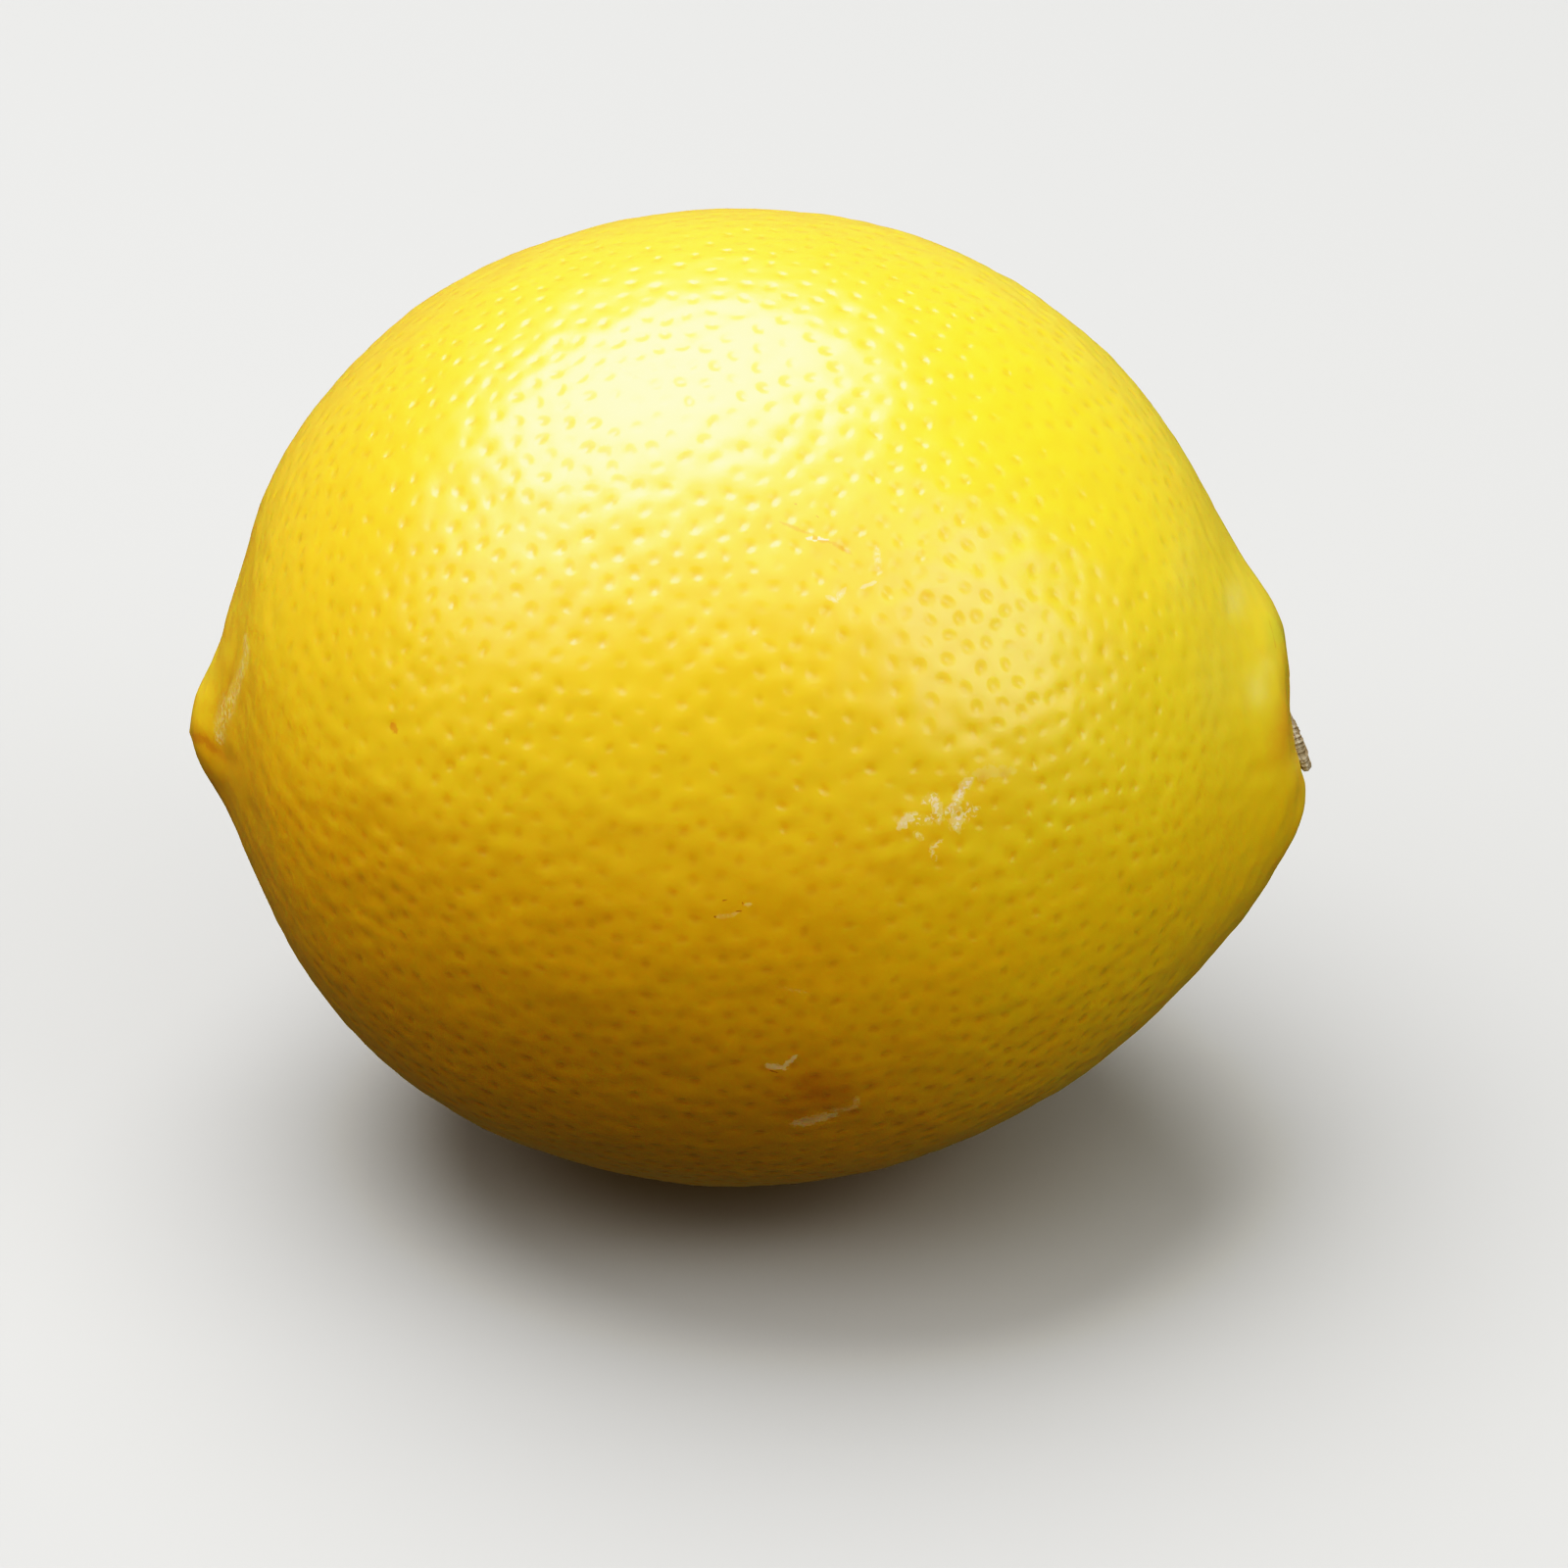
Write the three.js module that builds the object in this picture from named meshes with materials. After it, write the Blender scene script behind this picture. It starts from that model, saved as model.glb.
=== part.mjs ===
// A whole lemon lying on its side, as picked: the fruit with its pitted peel, and the dried button that the
// stalk left in its stem end. Millimetres, +Z up. X runs along the fruit, with the nipple at -X and the stem
// end at +X. The front faces -Y. The origin is on the resting surface, below the middle of the fruit.
import * as THREE from 'three';
import { ConvexHull } from 'three/addons/math/ConvexHull.js';

// Body: a round trunk of one radius, reaching a little further to the stem end than to the nipple
const body = {
  radius: 30,
  centreX: -0.4,
  blossomReach: 32.1,
  stemReach: 32.45,
  shoulderFullness: 0.3,
  shoulderX: -21,
  shoulderWidth: 8,
};

// Both ends hang off the middle line in one plane, which leans this far towards the front
const lean = THREE.MathUtils.degToRad(30);
const up = new THREE.Vector3(0, Math.sin(lean), Math.cos(lean));
const front = new THREE.Vector3(0, -Math.cos(lean), Math.sin(lean));

// The stem end sags along that plane
const sag = { depth: 3.15, reach: 33.4, power: 4.5 };

// Nipple, with the shallow dip in the peel round its foot
const nipple = {
  drop: 2.1,
  height: 1.65,
  width: 3.9,
  power: 2.6,
  tipHeight: 0.25,
  tipWidth: 0.6,
  dip: 0.42,
  dipSkew: 0.08,
  dipRing: 10,
  dipWidth: 4,
};

// Two creases that run out from the nipple across the front. Each starts at an angle above the front and
// climbs by so much a millimetre.
const creases = [
  { angle: -15, climb: 0, inner: 1.4, outer: 9, depth: 0.16, width: 0.6 },
  { angle: 10, climb: 3.8, inner: 4.6, outer: 10, depth: 0.2, width: 0.6 },
];

// Collar round the stem end, the recess a little above its middle for the button, and the low saddle at the
// recess's two sides
const collar = {
  height: 2.1,
  width: 9.5,
  slope: 0.137,
  slopeWidth: 6.5,
  chinFullness: 0.9,
  chinRing: 11.2,
  chinWidth: 4.6,
  browFullness: 0.4,
  browRing: 7.2,
  browWidth: 2.4,
  saddle: 0.42,
  saddleRing: 3.8,
  saddleWidth: 2.2,
  grooves: 9,
  grooveDepth: 0.1,
  grooveRing: 5.5,
  grooveWidth: 2.2,
  recessHigh: 0.55,
  recessDepth: 1.75,
  recessRadius: 2.6,
  recessWall: 0.36,
};

// Slow lumps in the peel: so many waves of one length, each of one height
const lumps = [
  { waves: 9, length: 12, height: 0.018 },
  { waves: 9, length: 5, height: 0.015 },
];

// Oil pits: larger and fewer than on a real peel. They crowd together towards both ends.
const pits = {
  count: 1900,
  depth: 0.28,
  stemCrowd: 9,
  nippleCrowd: 5,
  crowdSpread: 0.17,
  jitter: 0.4,
  rounds: 8,
  push: 0.25,
  reach: 1.15,
};

// The peel that touches the surface is pressed flat, this far above the lowest point of the round body
const flatDepth = 0.42;
const restHeight = body.radius - flatDepth;

// Half the difference between what the two ends reach, which sets the middle of the fruit at X = 0
const middleX = 0.31;

// Dried button: a ragged five-lobed disc on a short neck. Its upper side leans back into the recess.
const button = {
  radius: 2.1,
  lobes: 5,
  lobeDepth: 0.16,
  raggedness: 0.07,
  fibreDepth: 0.07,
  sectors: 40,
  faceX: 34.06,
  dropFromMiddle: 2.38,
  tilt: THREE.MathUtils.degToRad(21.8),
};

// Section of the button from the middle of its face to the middle of its neck: share of the radius, height
const buttonSection = [
  [0.22, -0.1],
  [0.36, 0.04],
  [0.5, 0.05],
  [0.62, -0.06],
  [0.84, -0.05],
  [0.93, -0.12],
  [1, -0.4],
  [0.97, -0.68],
  [0.76, -0.85],
  [0.52, -0.88],
  [0.48, -1.15],
  [0.25, -1.2],
];
const buttonFaceHeight = -0.14;
const buttonNeckHeight = -1.2;

const goldenAngle = Math.PI * (3 - Math.sqrt(5));
const seed = 20;

// A repeatable row of random numbers from 0 to 1
function makeRandom(start) {
  const modulus = 2147483647;
  let state = start;
  return () => {
    state = (state * 16807) % modulus;
    return state / modulus;
  };
}

// A bell-shaped bump of height 1 at a distance of 0
function bell(distance, width, power = 2) {
  return Math.exp(-(Math.abs(distance / width) ** power));
}

// The direction that is so far along X, as a cosine, and turned so far round it
function aroundX(along, turn) {
  const across = Math.sqrt(Math.max(0, 1 - along * along));
  return new THREE.Vector3(along, across * Math.cos(turn), across * Math.sin(turn));
}

// Height of the slow lumps in one direction: waves that each run their own way through the fruit
function lumpHeight(direction) {
  let height = 0;
  lumps.forEach((scale, row) => {
    for (let wave = 0; wave < scale.waves; wave++) {
      const along = 1 - (2 * wave + 1) / scale.waves;
      const way = aroundX(along, goldenAngle * (wave + row));
      const turns = (body.radius * direction.dot(way)) / scale.length;
      height += scale.height * Math.sin(2 * Math.PI * turns + wave * wave);
    }
  });
  return height;
}

// Depth of the creases at a place so far above and in front of the nipple
function creaseDepth(above, ahead) {
  const distance = Math.hypot(above, ahead);
  const angle = Math.atan2(above, ahead);
  return creases.reduce((depth, crease) => {
    const middle = THREE.MathUtils.degToRad(crease.angle + crease.climb * (distance - crease.inner));
    const between = THREE.MathUtils.smoothstep(distance, crease.inner - 1, crease.inner + 1)
      * (1 - THREE.MathUtils.smoothstep(distance, crease.outer - 2, crease.outer + 1));
    const across = distance * Math.sin(angle - middle);
    const facing = Math.cos(angle - middle) > 0 ? 1 : 0;
    return depth + crease.depth * between * facing * bell(across, crease.width);
  }, 0);
}

// How far the nipple, its dip and its creases push the peel out at the blossom end
function nippleHeight(high, ahead) {
  const above = high + nipple.drop;
  const distance = Math.hypot(above, ahead);
  const dip = nipple.dip + (nipple.dipSkew * above) / Math.max(distance, 1e-6);
  return nipple.height * bell(distance, nipple.width, nipple.power)
    + nipple.tipHeight * bell(distance, nipple.tipWidth, 1)
    - dip * bell(distance - nipple.dipRing, nipple.dipWidth)
    - creaseDepth(above, ahead);
}

// How far the collar and its recess push the peel out at the stem end
function collarHeight(high, ahead) {
  const distance = Math.hypot(high, ahead);
  const lift = high / Math.max(distance, 1e-6);
  const fromHub = Math.hypot(high - collar.recessHigh, ahead);
  const side = (ahead / Math.max(fromHub, 1e-6)) ** 2;
  const chin = Math.max(0, -lift) ** 2 * bell(distance - collar.chinRing, collar.chinWidth);
  const brow = Math.max(0, lift) ** 2 * bell(distance - collar.browRing, collar.browWidth);
  const groove = 0.5 * (1 - Math.cos(collar.grooves * Math.atan2(ahead, high)));
  const recess = 0.5 * (1 - Math.tanh((fromHub - collar.recessRadius) / collar.recessWall));
  return collar.height * bell(distance, collar.width, 4)
    - collar.slope * high * bell(distance, collar.slopeWidth, 4)
    + collar.chinFullness * chin
    + collar.browFullness * brow
    - collar.saddle * side * bell(fromHub - collar.saddleRing, collar.saddleWidth)
    - collar.grooveDepth * groove * bell(distance - collar.grooveRing, collar.grooveWidth)
    - collar.recessDepth * recess;
}

// The point of the smooth peel that lies in one direction from the middle of the body
function peelPoint(direction) {
  const reach = direction.x < 0 ? body.blossomReach : body.stemReach;
  const point = new THREE.Vector3(reach, body.radius, body.radius).multiply(direction);
  point.x += body.centreX;
  const across = Math.hypot(direction.y, direction.z);
  const sideways = new THREE.Vector3(0, direction.y, direction.z).divideScalar(Math.max(across, 1e-9));
  const fullness = body.shoulderFullness * bell(point.x - body.shoulderX, body.shoulderWidth);
  point.addScaledVector(sideways, fullness * Math.min(1, across / 0.3));
  point.addScaledVector(direction, lumpHeight(direction));
  const high = point.dot(up);
  const ahead = point.dot(front);
  const sagHere = sag.depth * (Math.max(0, point.x) / sag.reach) ** sag.power;
  point.x += direction.x < 0 ? -nippleHeight(high, ahead) : collarHeight(high, ahead);
  return point.addScaledVector(up, -sagHere);
}

// The same point in the frame of the part, sunk by a depth and pressed flat where it meets the surface
function placedPoint(direction, depth) {
  const point = peelPoint(direction).addScaledVector(direction, -depth);
  point.x -= middleX;
  point.z = Math.max(0, point.z + restHeight);
  return point;
}

// How many times as many pits a patch holds as it would on the body, by the cosine of its angle from the stem
function crowding(along) {
  const fromStem = Math.acos(along);
  const fromNipple = Math.PI - fromStem;
  return 1 + pits.stemCrowd * bell(fromStem, pits.crowdSpread)
    + pits.nippleCrowd * bell(fromNipple, pits.crowdSpread);
}

// Pit directions on a spiral from the stem end to the nipple, close together where they crowd
function spiralDirections(random) {
  const steps = 40000;
  const cosine = (step) => 1 - (2 * (step + 0.5)) / steps;
  let total = 0;
  for (let step = 0; step < steps; step++) {
    total += crowding(cosine(step));
  }
  const directions = [];
  let filled = 0;
  for (let step = 0; step < steps; step++) {
    filled += (crowding(cosine(step)) / total) * pits.count;
    if (directions.length + 0.5 < filled) {
      const turn = directions.length * goldenAngle + pits.jitter * random();
      directions.push(aroundX(cosine(step), turn));
    }
  }
  return directions;
}

// Pushes crowded neighbours apart, a little each round, so that the pits lie evenly but in no pattern
function spreadOut(directions) {
  const evenSpacing = Math.sqrt((8 * Math.PI) / (Math.sqrt(3) * pits.count));
  for (let round = 0; round < pits.rounds; round++) {
    const spacings = directions.map((direction) => evenSpacing / Math.sqrt(crowding(direction.x)));
    const pushes = directions.map((direction, index) => {
      const reach = spacings[index] * pits.reach;
      const push = new THREE.Vector3();
      for (const other of directions) {
        const distance = direction.distanceTo(other);
        if (distance > 0 && distance < reach) {
          push.addScaledVector(direction, (reach - distance) / distance);
          push.addScaledVector(other, (distance - reach) / distance);
        }
      }
      return push;
    });
    directions.forEach((direction, index) => direction.addScaledVector(pushes[index], pits.push).normalize());
  }
}

// Pits keep their steepness where they crowd together, so they get shallower there
function pitDepth(direction) {
  return pits.depth / Math.sqrt(crowding(direction.x));
}

// The peel: a net of triangles with its low points at the pits and its high points between each three of them
function fruitGeometry() {
  const directions = spiralDirections(makeRandom(seed));
  spreadOut(directions);
  const hull = new ConvexHull().setFromPoints(directions);
  const lows = new Map(directions.map((direction) => [direction, placedPoint(direction, pitDepth(direction))]));
  const highs = new Map(hull.faces.map((face) => [face, placedPoint(face.midpoint.clone().normalize(), 0)]));
  const corners = [];
  for (const face of hull.faces) {
    let edge = face.edge;
    do {
      corners.push(lows.get(edge.tail().point), highs.get(edge.twin.face), highs.get(face));
      edge = edge.next;
    } while (edge !== face.edge);
  }
  return new THREE.BufferGeometry().setFromPoints(corners);
}

// One ring of the button: lobed and ragged at its edge, with fibres that stand up and sink by turns
function buttonRing([share, height], spokes) {
  return spokes.map(({ turn, rag, fibre }) => {
    const lobe = 1 - button.lobeDepth * (0.5 - 0.5 * Math.cos(button.lobes * turn)) * share ** 4;
    const radius = button.radius * share * lobe * (1 + button.raggedness * rag * share ** 4);
    const lift = button.fibreDepth * fibre * Math.min(1, share * 2);
    return new THREE.Vector3(height + lift, radius * Math.cos(turn), radius * Math.sin(turn));
  });
}

// The button, lying round its own X: rings from the middle of its face over the edge to the end of its neck
function buttonGeometry() {
  const random = makeRandom(seed + 1);
  const spokes = Array.from({ length: button.sectors }, (_, index) => ({
    turn: (2 * Math.PI * index) / button.sectors,
    rag: 2 * random() - 1,
    fibre: 2 * random() - 1,
  }));
  const rings = buttonSection.map((station) => buttonRing(station, spokes));
  const faceMiddle = new THREE.Vector3(buttonFaceHeight, 0, 0);
  const neckMiddle = new THREE.Vector3(buttonNeckHeight, 0, 0);
  const corners = [];
  for (let sector = 0; sector < button.sectors; sector++) {
    const next = (sector + 1) % button.sectors;
    const first = rings[0];
    const last = rings[rings.length - 1];
    corners.push(faceMiddle, first[sector], first[next]);
    corners.push(neckMiddle, last[next], last[sector]);
    for (let ring = 1; ring < rings.length; ring++) {
      const inner = rings[ring - 1];
      const outer = rings[ring];
      corners.push(inner[sector], outer[sector], outer[next]);
      corners.push(inner[sector], outer[next], inner[next]);
    }
  }
  return new THREE.BufferGeometry().setFromPoints(corners);
}

function makeFruit() {
  const material = new THREE.MeshStandardMaterial({ color: 0xecc80a, roughness: 0.42, metalness: 0 });
  const fruit = new THREE.Mesh(fruitGeometry(), material);
  fruit.name = 'lemon_fruit';
  return fruit;
}

function makeButton() {
  const material = new THREE.MeshStandardMaterial({ color: 0x8f8468, roughness: 0.9, metalness: 0 });
  const mesh = new THREE.Mesh(buttonGeometry(), material);
  mesh.name = 'stem_button';
  const outward = new THREE.Vector3(Math.cos(button.tilt), 0, 0).addScaledVector(up, Math.sin(button.tilt));
  mesh.quaternion.setFromUnitVectors(new THREE.Vector3(1, 0, 0), outward);
  mesh.position.set(button.faceX - middleX, 0, restHeight).addScaledVector(up, -button.dropFromMiddle);
  return mesh;
}

const lemon = new THREE.Group();
lemon.name = 'lemon';
lemon.add(makeFruit(), makeButton());

export default lemon;
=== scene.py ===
# A whole lemon on its side: finely pitted waxy peel, pointed nipple, and a collar round a dried stem button
import bpy
import numpy as np
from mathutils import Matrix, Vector


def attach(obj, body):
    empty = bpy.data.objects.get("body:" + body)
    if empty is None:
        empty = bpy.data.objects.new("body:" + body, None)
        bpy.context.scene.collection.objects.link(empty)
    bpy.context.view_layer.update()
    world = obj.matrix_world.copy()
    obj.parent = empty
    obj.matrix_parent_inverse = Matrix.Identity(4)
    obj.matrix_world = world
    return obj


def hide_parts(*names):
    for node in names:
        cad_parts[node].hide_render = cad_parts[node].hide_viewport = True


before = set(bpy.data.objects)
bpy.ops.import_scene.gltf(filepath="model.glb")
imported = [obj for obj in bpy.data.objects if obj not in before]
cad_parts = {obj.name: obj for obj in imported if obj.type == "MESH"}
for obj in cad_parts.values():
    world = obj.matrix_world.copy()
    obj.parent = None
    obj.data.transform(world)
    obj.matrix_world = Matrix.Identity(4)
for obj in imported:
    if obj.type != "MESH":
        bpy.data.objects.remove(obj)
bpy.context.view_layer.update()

millimetre = 0.001
goldenAngle = np.pi * (3 - np.sqrt(5))
tiny = 1e-6     # keeps a distance of nothing from being divided by

# the camera of the photograph: it looks along +Y, from this far above the surface
view = {
    "elevation": 30.0,      # degrees
    "distance": 450.0,      # millimetres from the middle of the lemon
    "pixelsPerMillimetre": 16.6,
    "imageSize": 1600,
    "middlePixel": (761.0, 711.5),   # where the middle of the fruit's body falls in the image
    "sensor": 36.0,
    "nearest": 0.01,        # metres from which the camera sees
    # light of each first strength is shown as bright as the second: deep shadows and soft highlights
    "contrast": ((0.0, 0.0), (0.0125, 0.005), (0.0275, 0.02), (0.046, 0.05), (0.068, 0.1), (0.104, 0.2),
                 (0.155, 0.35), (0.208, 0.5), (0.354, 0.765), (0.458, 0.905), (0.54, 0.958), (0.708, 0.98),
                 (1.0, 0.994)),
}

# both ends of the fruit hang off its middle line in a plane that leans as much as the camera looks down
lean = np.radians(view["elevation"])
up = np.array([0.0, np.sin(lean), np.cos(lean)])
front = np.array([0.0, -np.cos(lean), np.sin(lean)])

# the grown form, in millimetres, with the same values as the solid it replaces
form = {
    "radius": 30.0,
    "centreX": -0.4,
    "blossomReach": 32.1,
    "stemReach": 32.45,
    "shoulderFullness": 0.3,
    "shoulderX": -21.0,
    "shoulderWidth": 8.0,
    "shoulderFade": 0.3,    # share of the radius inside which the shoulder's fullness fades
    "sagDepth": 3.15,
    "sagReach": 33.4,
    "sagPower": 4.5,
    "flatDepth": 0.42,
    "middleX": 0.31,
}
# the nipple, with the shallow dip in the peel round its foot
nipple = {
    "drop": 2.1,
    "height": 1.65,
    "width": 3.9,
    "power": 2.6,
    "tipHeight": 0.25,
    "tipWidth": 0.6,
    "dip": 0.42,
    "dipSkew": 0.08,
    "dipRing": 10.0,
    "dipWidth": 4.0,
}
# creases run out from the nipple, each at an angle above the front that climbs by so much a millimetre;
# they are shallower here than in the solid, where they are larger than life
creases = (
    {"angle": -15.0, "climb": 0.0, "inner": 1.4, "outer": 9.0, "depth": 0.07, "width": 0.6},
    {"angle": 10.0, "climb": 3.8, "inner": 4.6, "outer": 10.0, "depth": 0.1, "width": 0.6},
)
creaseFade = {"start": (-1.0, 1.0), "end": (-2.0, 1.0)}     # millimetres about each end of a crease
# the collar round the stem end, and the recess in it for the button
collar = {
    "height": 2.1,
    "width": 9.5,
    "power": 4,             # of its bell, so that its top is flat
    "slope": 0.137,
    "slopeWidth": 6.5,
    "chinFullness": 0.9,
    "chinRing": 11.2,
    "chinWidth": 4.6,
    "browFullness": 0.4,
    "browRing": 7.2,
    "browWidth": 2.4,
    "saddle": 0.42,
    "saddleRing": 3.8,
    "saddleWidth": 2.2,
    "grooves": 9,
    "grooveDepth": 0.1,
    "grooveRing": 5.5,
    "grooveWidth": 2.2,
    "recessHigh": 0.55,
    "recessDepth": 1.75,
    "recessRadius": 2.6,
    "recessWall": 0.36,
}
lumps = (       # so many waves of one length and height; gentler here than in the solid
    {"waves": 9, "length": 12.0, "height": 0.013},
    {"waves": 9, "length": 5.0, "height": 0.007},
)
restHeight = form["radius"] - form["flatDepth"]


def bell(distance, width, power=2):
    # exp(-(distance / width) ^ power): a smooth bump of height 1
    return np.exp(-np.abs(distance / width) ** power)


def smooth(value, low, high):
    # 0 below low, 1 above high, and 3t^2 - 2t^3 between them
    t = np.clip((value - low) / (high - low), 0, 1)
    return t * t * (3 - 2 * t)


def aroundX(along, turn):
    # unit directions from the cosine along X and the turn round it
    across = np.sqrt(np.maximum(0, 1 - along * along))
    return np.stack([along, across * np.cos(turn), across * np.sin(turn)], -1)


def waveField(directions, scales):
    # sum of sine waves, each running its own way through the fruit: height * sin(2 pi distance / length)
    height = np.zeros(len(directions))
    for row, scale in enumerate(scales):
        wave = np.arange(scale["waves"])
        ways = aroundX(1 - (2 * wave + 1) / scale["waves"], goldenAngle * (wave + row))
        turns = directions @ ways.T * form["radius"] / scale["length"]
        height += scale["height"] * np.sin(2 * np.pi * turns + wave * wave).sum(1)
    return height


def creaseDepth(above, ahead):
    # each crease is a bell across a ray from the nipple, faded in and out along it
    distance = np.hypot(above, ahead)
    angle = np.arctan2(above, ahead)
    depth = np.zeros_like(distance)
    for crease in creases:
        middle = np.radians(crease["angle"] + crease["climb"] * (distance - crease["inner"]))
        between = smooth(distance - crease["inner"], *creaseFade["start"])
        between *= 1 - smooth(distance - crease["outer"], *creaseFade["end"])
        across = distance * np.sin(angle - middle)
        depth += crease["depth"] * between * (np.cos(angle - middle) > 0) * bell(across, crease["width"])
    return depth


def nippleHeight(high, ahead):
    # bell of the nipple, its sharper tip, less the shallow ring round its foot and the creases
    above = high + nipple["drop"]
    distance = np.hypot(above, ahead)
    dip = nipple["dip"] + nipple["dipSkew"] * above / np.maximum(distance, tiny)
    height = nipple["height"] * bell(distance, nipple["width"], nipple["power"])
    height += nipple["tipHeight"] * bell(distance, nipple["tipWidth"], 1)
    height -= dip * bell(distance - nipple["dipRing"], nipple["dipWidth"])
    return height - creaseDepth(above, ahead)


def collarHeight(high, ahead):
    # flat-topped bell of the collar with a fuller chin and brow, less its grooves, saddle and recess
    distance = np.hypot(high, ahead)
    lift = high / np.maximum(distance, tiny)
    chin = np.clip(-lift, 0, None) ** 2 * bell(distance - collar["chinRing"], collar["chinWidth"])
    brow = np.clip(lift, 0, None) ** 2 * bell(distance - collar["browRing"], collar["browWidth"])
    groove = 0.5 - 0.5 * np.cos(collar["grooves"] * np.arctan2(ahead, high))
    fromHub = np.hypot(high - collar["recessHigh"], ahead)
    side = (ahead / np.maximum(fromHub, tiny)) ** 2
    recess = 0.5 - 0.5 * np.tanh((fromHub - collar["recessRadius"]) / collar["recessWall"])
    height = collar["height"] * bell(distance, collar["width"], collar["power"])
    height -= collar["slope"] * high * bell(distance, collar["slopeWidth"], collar["power"])
    height += collar["chinFullness"] * chin + collar["browFullness"] * brow
    height -= collar["saddle"] * side * bell(fromHub - collar["saddleRing"], collar["saddleWidth"])
    height -= collar["grooveDepth"] * groove * bell(distance - collar["grooveRing"], collar["grooveWidth"])
    return height - collar["recessDepth"] * recess


def peelPoints(directions):
    # ellipsoid with two half-lengths, plus shoulder, lumps and what each end adds along X, then the sag
    alongX = directions[:, 0]
    blossom = alongX < 0
    reach = np.where(blossom, form["blossomReach"], form["stemReach"])
    points = directions * form["radius"]
    points[:, 0] = form["centreX"] + reach * alongX
    across = np.hypot(directions[:, 1], directions[:, 2])
    sideways = directions / np.maximum(across, tiny)[:, None]
    sideways[:, 0] = 0
    fullness = form["shoulderFullness"] * bell(points[:, 0] - form["shoulderX"], form["shoulderWidth"])
    points += sideways * (fullness * np.minimum(1, across / form["shoulderFade"]))[:, None]
    points += directions * waveField(directions, lumps)[:, None]
    high = points @ up
    ahead = points @ front
    sag = form["sagDepth"] * (np.maximum(0, points[:, 0]) / form["sagReach"]) ** form["sagPower"]
    points[:, 0] += np.where(blossom, -nippleHeight(high, ahead), collarHeight(high, ahead))
    return points - sag[:, None] * up


def toFrame(points):
    # from the middle of the body to the part's own frame, on its resting surface
    return points + np.array([-form["middleX"], 0.0, restHeight])


# the peel: grid fineness, oil pits at their true size, small waves that break up a reflection, and colour
peel = {
    "cells": 128,            # squares along each side of the six patches
    "pitCount": 5800,
    "spiralSteps": 20001,    # along the fruit, when the spiral of pits is laid out
    "pitJitter": 0.5,
    "pitRounds": 9,
    "pushReach": 1.15,       # pits nearer than this share of the even spacing push each other apart
    "push": 0.25,
    "stemCrowd": 1.6,
    "nippleCrowd": 1.2,
    "crowdSpread": 0.3,      # radians from each end
    "pitDepth": 0.045,       # millimetres
    "pitWidth": 0.5,
    "pitStretch": 0.35,      # how far from round a pit may be
    "pitStrengths": (0.4, 1.2),      # from the shallowest pit to the deepest
    "nippleFade": (8.0, 23.0),       # distances from the fruit's axis, from faint pits to full ones
    "stemFade": (9.0, 23.0),
    "faintest": 0.06,
    "seeds": {"pits": 7, "depths": 8, "ways": 9, "streaks": 10},
    "ripples": (
        {"waves": 14, "length": 4.4, "height": 0.002},
        {"waves": 16, "length": 2.3, "height": 0.0035},
        {"waves": 18, "length": 1.5, "height": 0.0035},
    ),
    "broad": (
        {"waves": 7, "length": 21.0, "height": 0.04},
        {"waves": 9, "length": 9.0, "height": 0.03},
    ),
    "mottle": (
        {"waves": 17, "length": 3.1, "height": 0.10},
        {"waves": 19, "length": 1.7, "height": 0.09},
    ),
    "mottleWarmth": 0.15,
    "streakWarmth": 0.45,
    "streaks": (29, 67, 113),        # round each end, side by side
    "streakStart": (1.0, 4.0),       # distances from the fruit's axis where they fade in and out
    "streakReach": (5.0, 17.0),
    "streakLean": 0.02,              # radians that a streak turns in each millimetre
    "streakWander": (0.05, 0.9),     # its swing to both sides in radians, and its pace
    "nippleStreaks": 0.5,            # how strong they are there, against the stem end
    "streakHeight": 0.014,
    "orangeFrom": (2.0, 34.0),       # distances from the middle towards the nipple
    "lemonFrom": (2.0, 26.0),        # and towards the stem
    "nippleSinks": (0.0, 25.0),      # where the fruit's own axis starts to sink to the nipple, and has sunk
    "stemSinks": 0.95,               # share of the sag that the axis follows at the stem
}


def patchDirections(cells):
    # six patches of a cube blown up to a ball by the tangent of each coordinate, welded at their seams
    steps = np.arange(cells + 1)
    first, second = np.meshgrid(steps, steps, indexing="ij")
    corners = []
    for axis in range(3):
        for side in (0, cells):
            lattice = np.empty(first.shape + (3,), dtype=np.int64)
            lattice[..., axis] = side
            lattice[..., (axis + 1) % 3] = first if side else second
            lattice[..., (axis + 2) % 3] = second if side else first
            corners.append(lattice)
    lattices = np.stack(corners)
    keys = (lattices[..., 0] * (cells + 1) + lattices[..., 1]) * (cells + 1) + lattices[..., 2]
    _, firstUse, index = np.unique(keys.ravel(), return_index=True, return_inverse=True)
    index = index.reshape(keys.shape)
    quads = np.stack([index[:, :-1, :-1], index[:, 1:, :-1], index[:, 1:, 1:], index[:, :-1, 1:]], -1)
    spots = lattices.reshape(-1, 3)[firstUse] / cells * 2 - 1
    blown = np.tan(spots * np.pi / 4)
    return blown / np.linalg.norm(blown, axis=1)[:, None], quads.reshape(-1, 4)


def crowding(along):
    # pits for each patch of peel, against the body: more towards both ends
    fromStem = np.arccos(np.clip(along, -1, 1))
    return 1 + peel["stemCrowd"] * bell(fromStem, peel["crowdSpread"]) \
        + peel["nippleCrowd"] * bell(np.pi - fromStem, peel["crowdSpread"])


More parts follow.
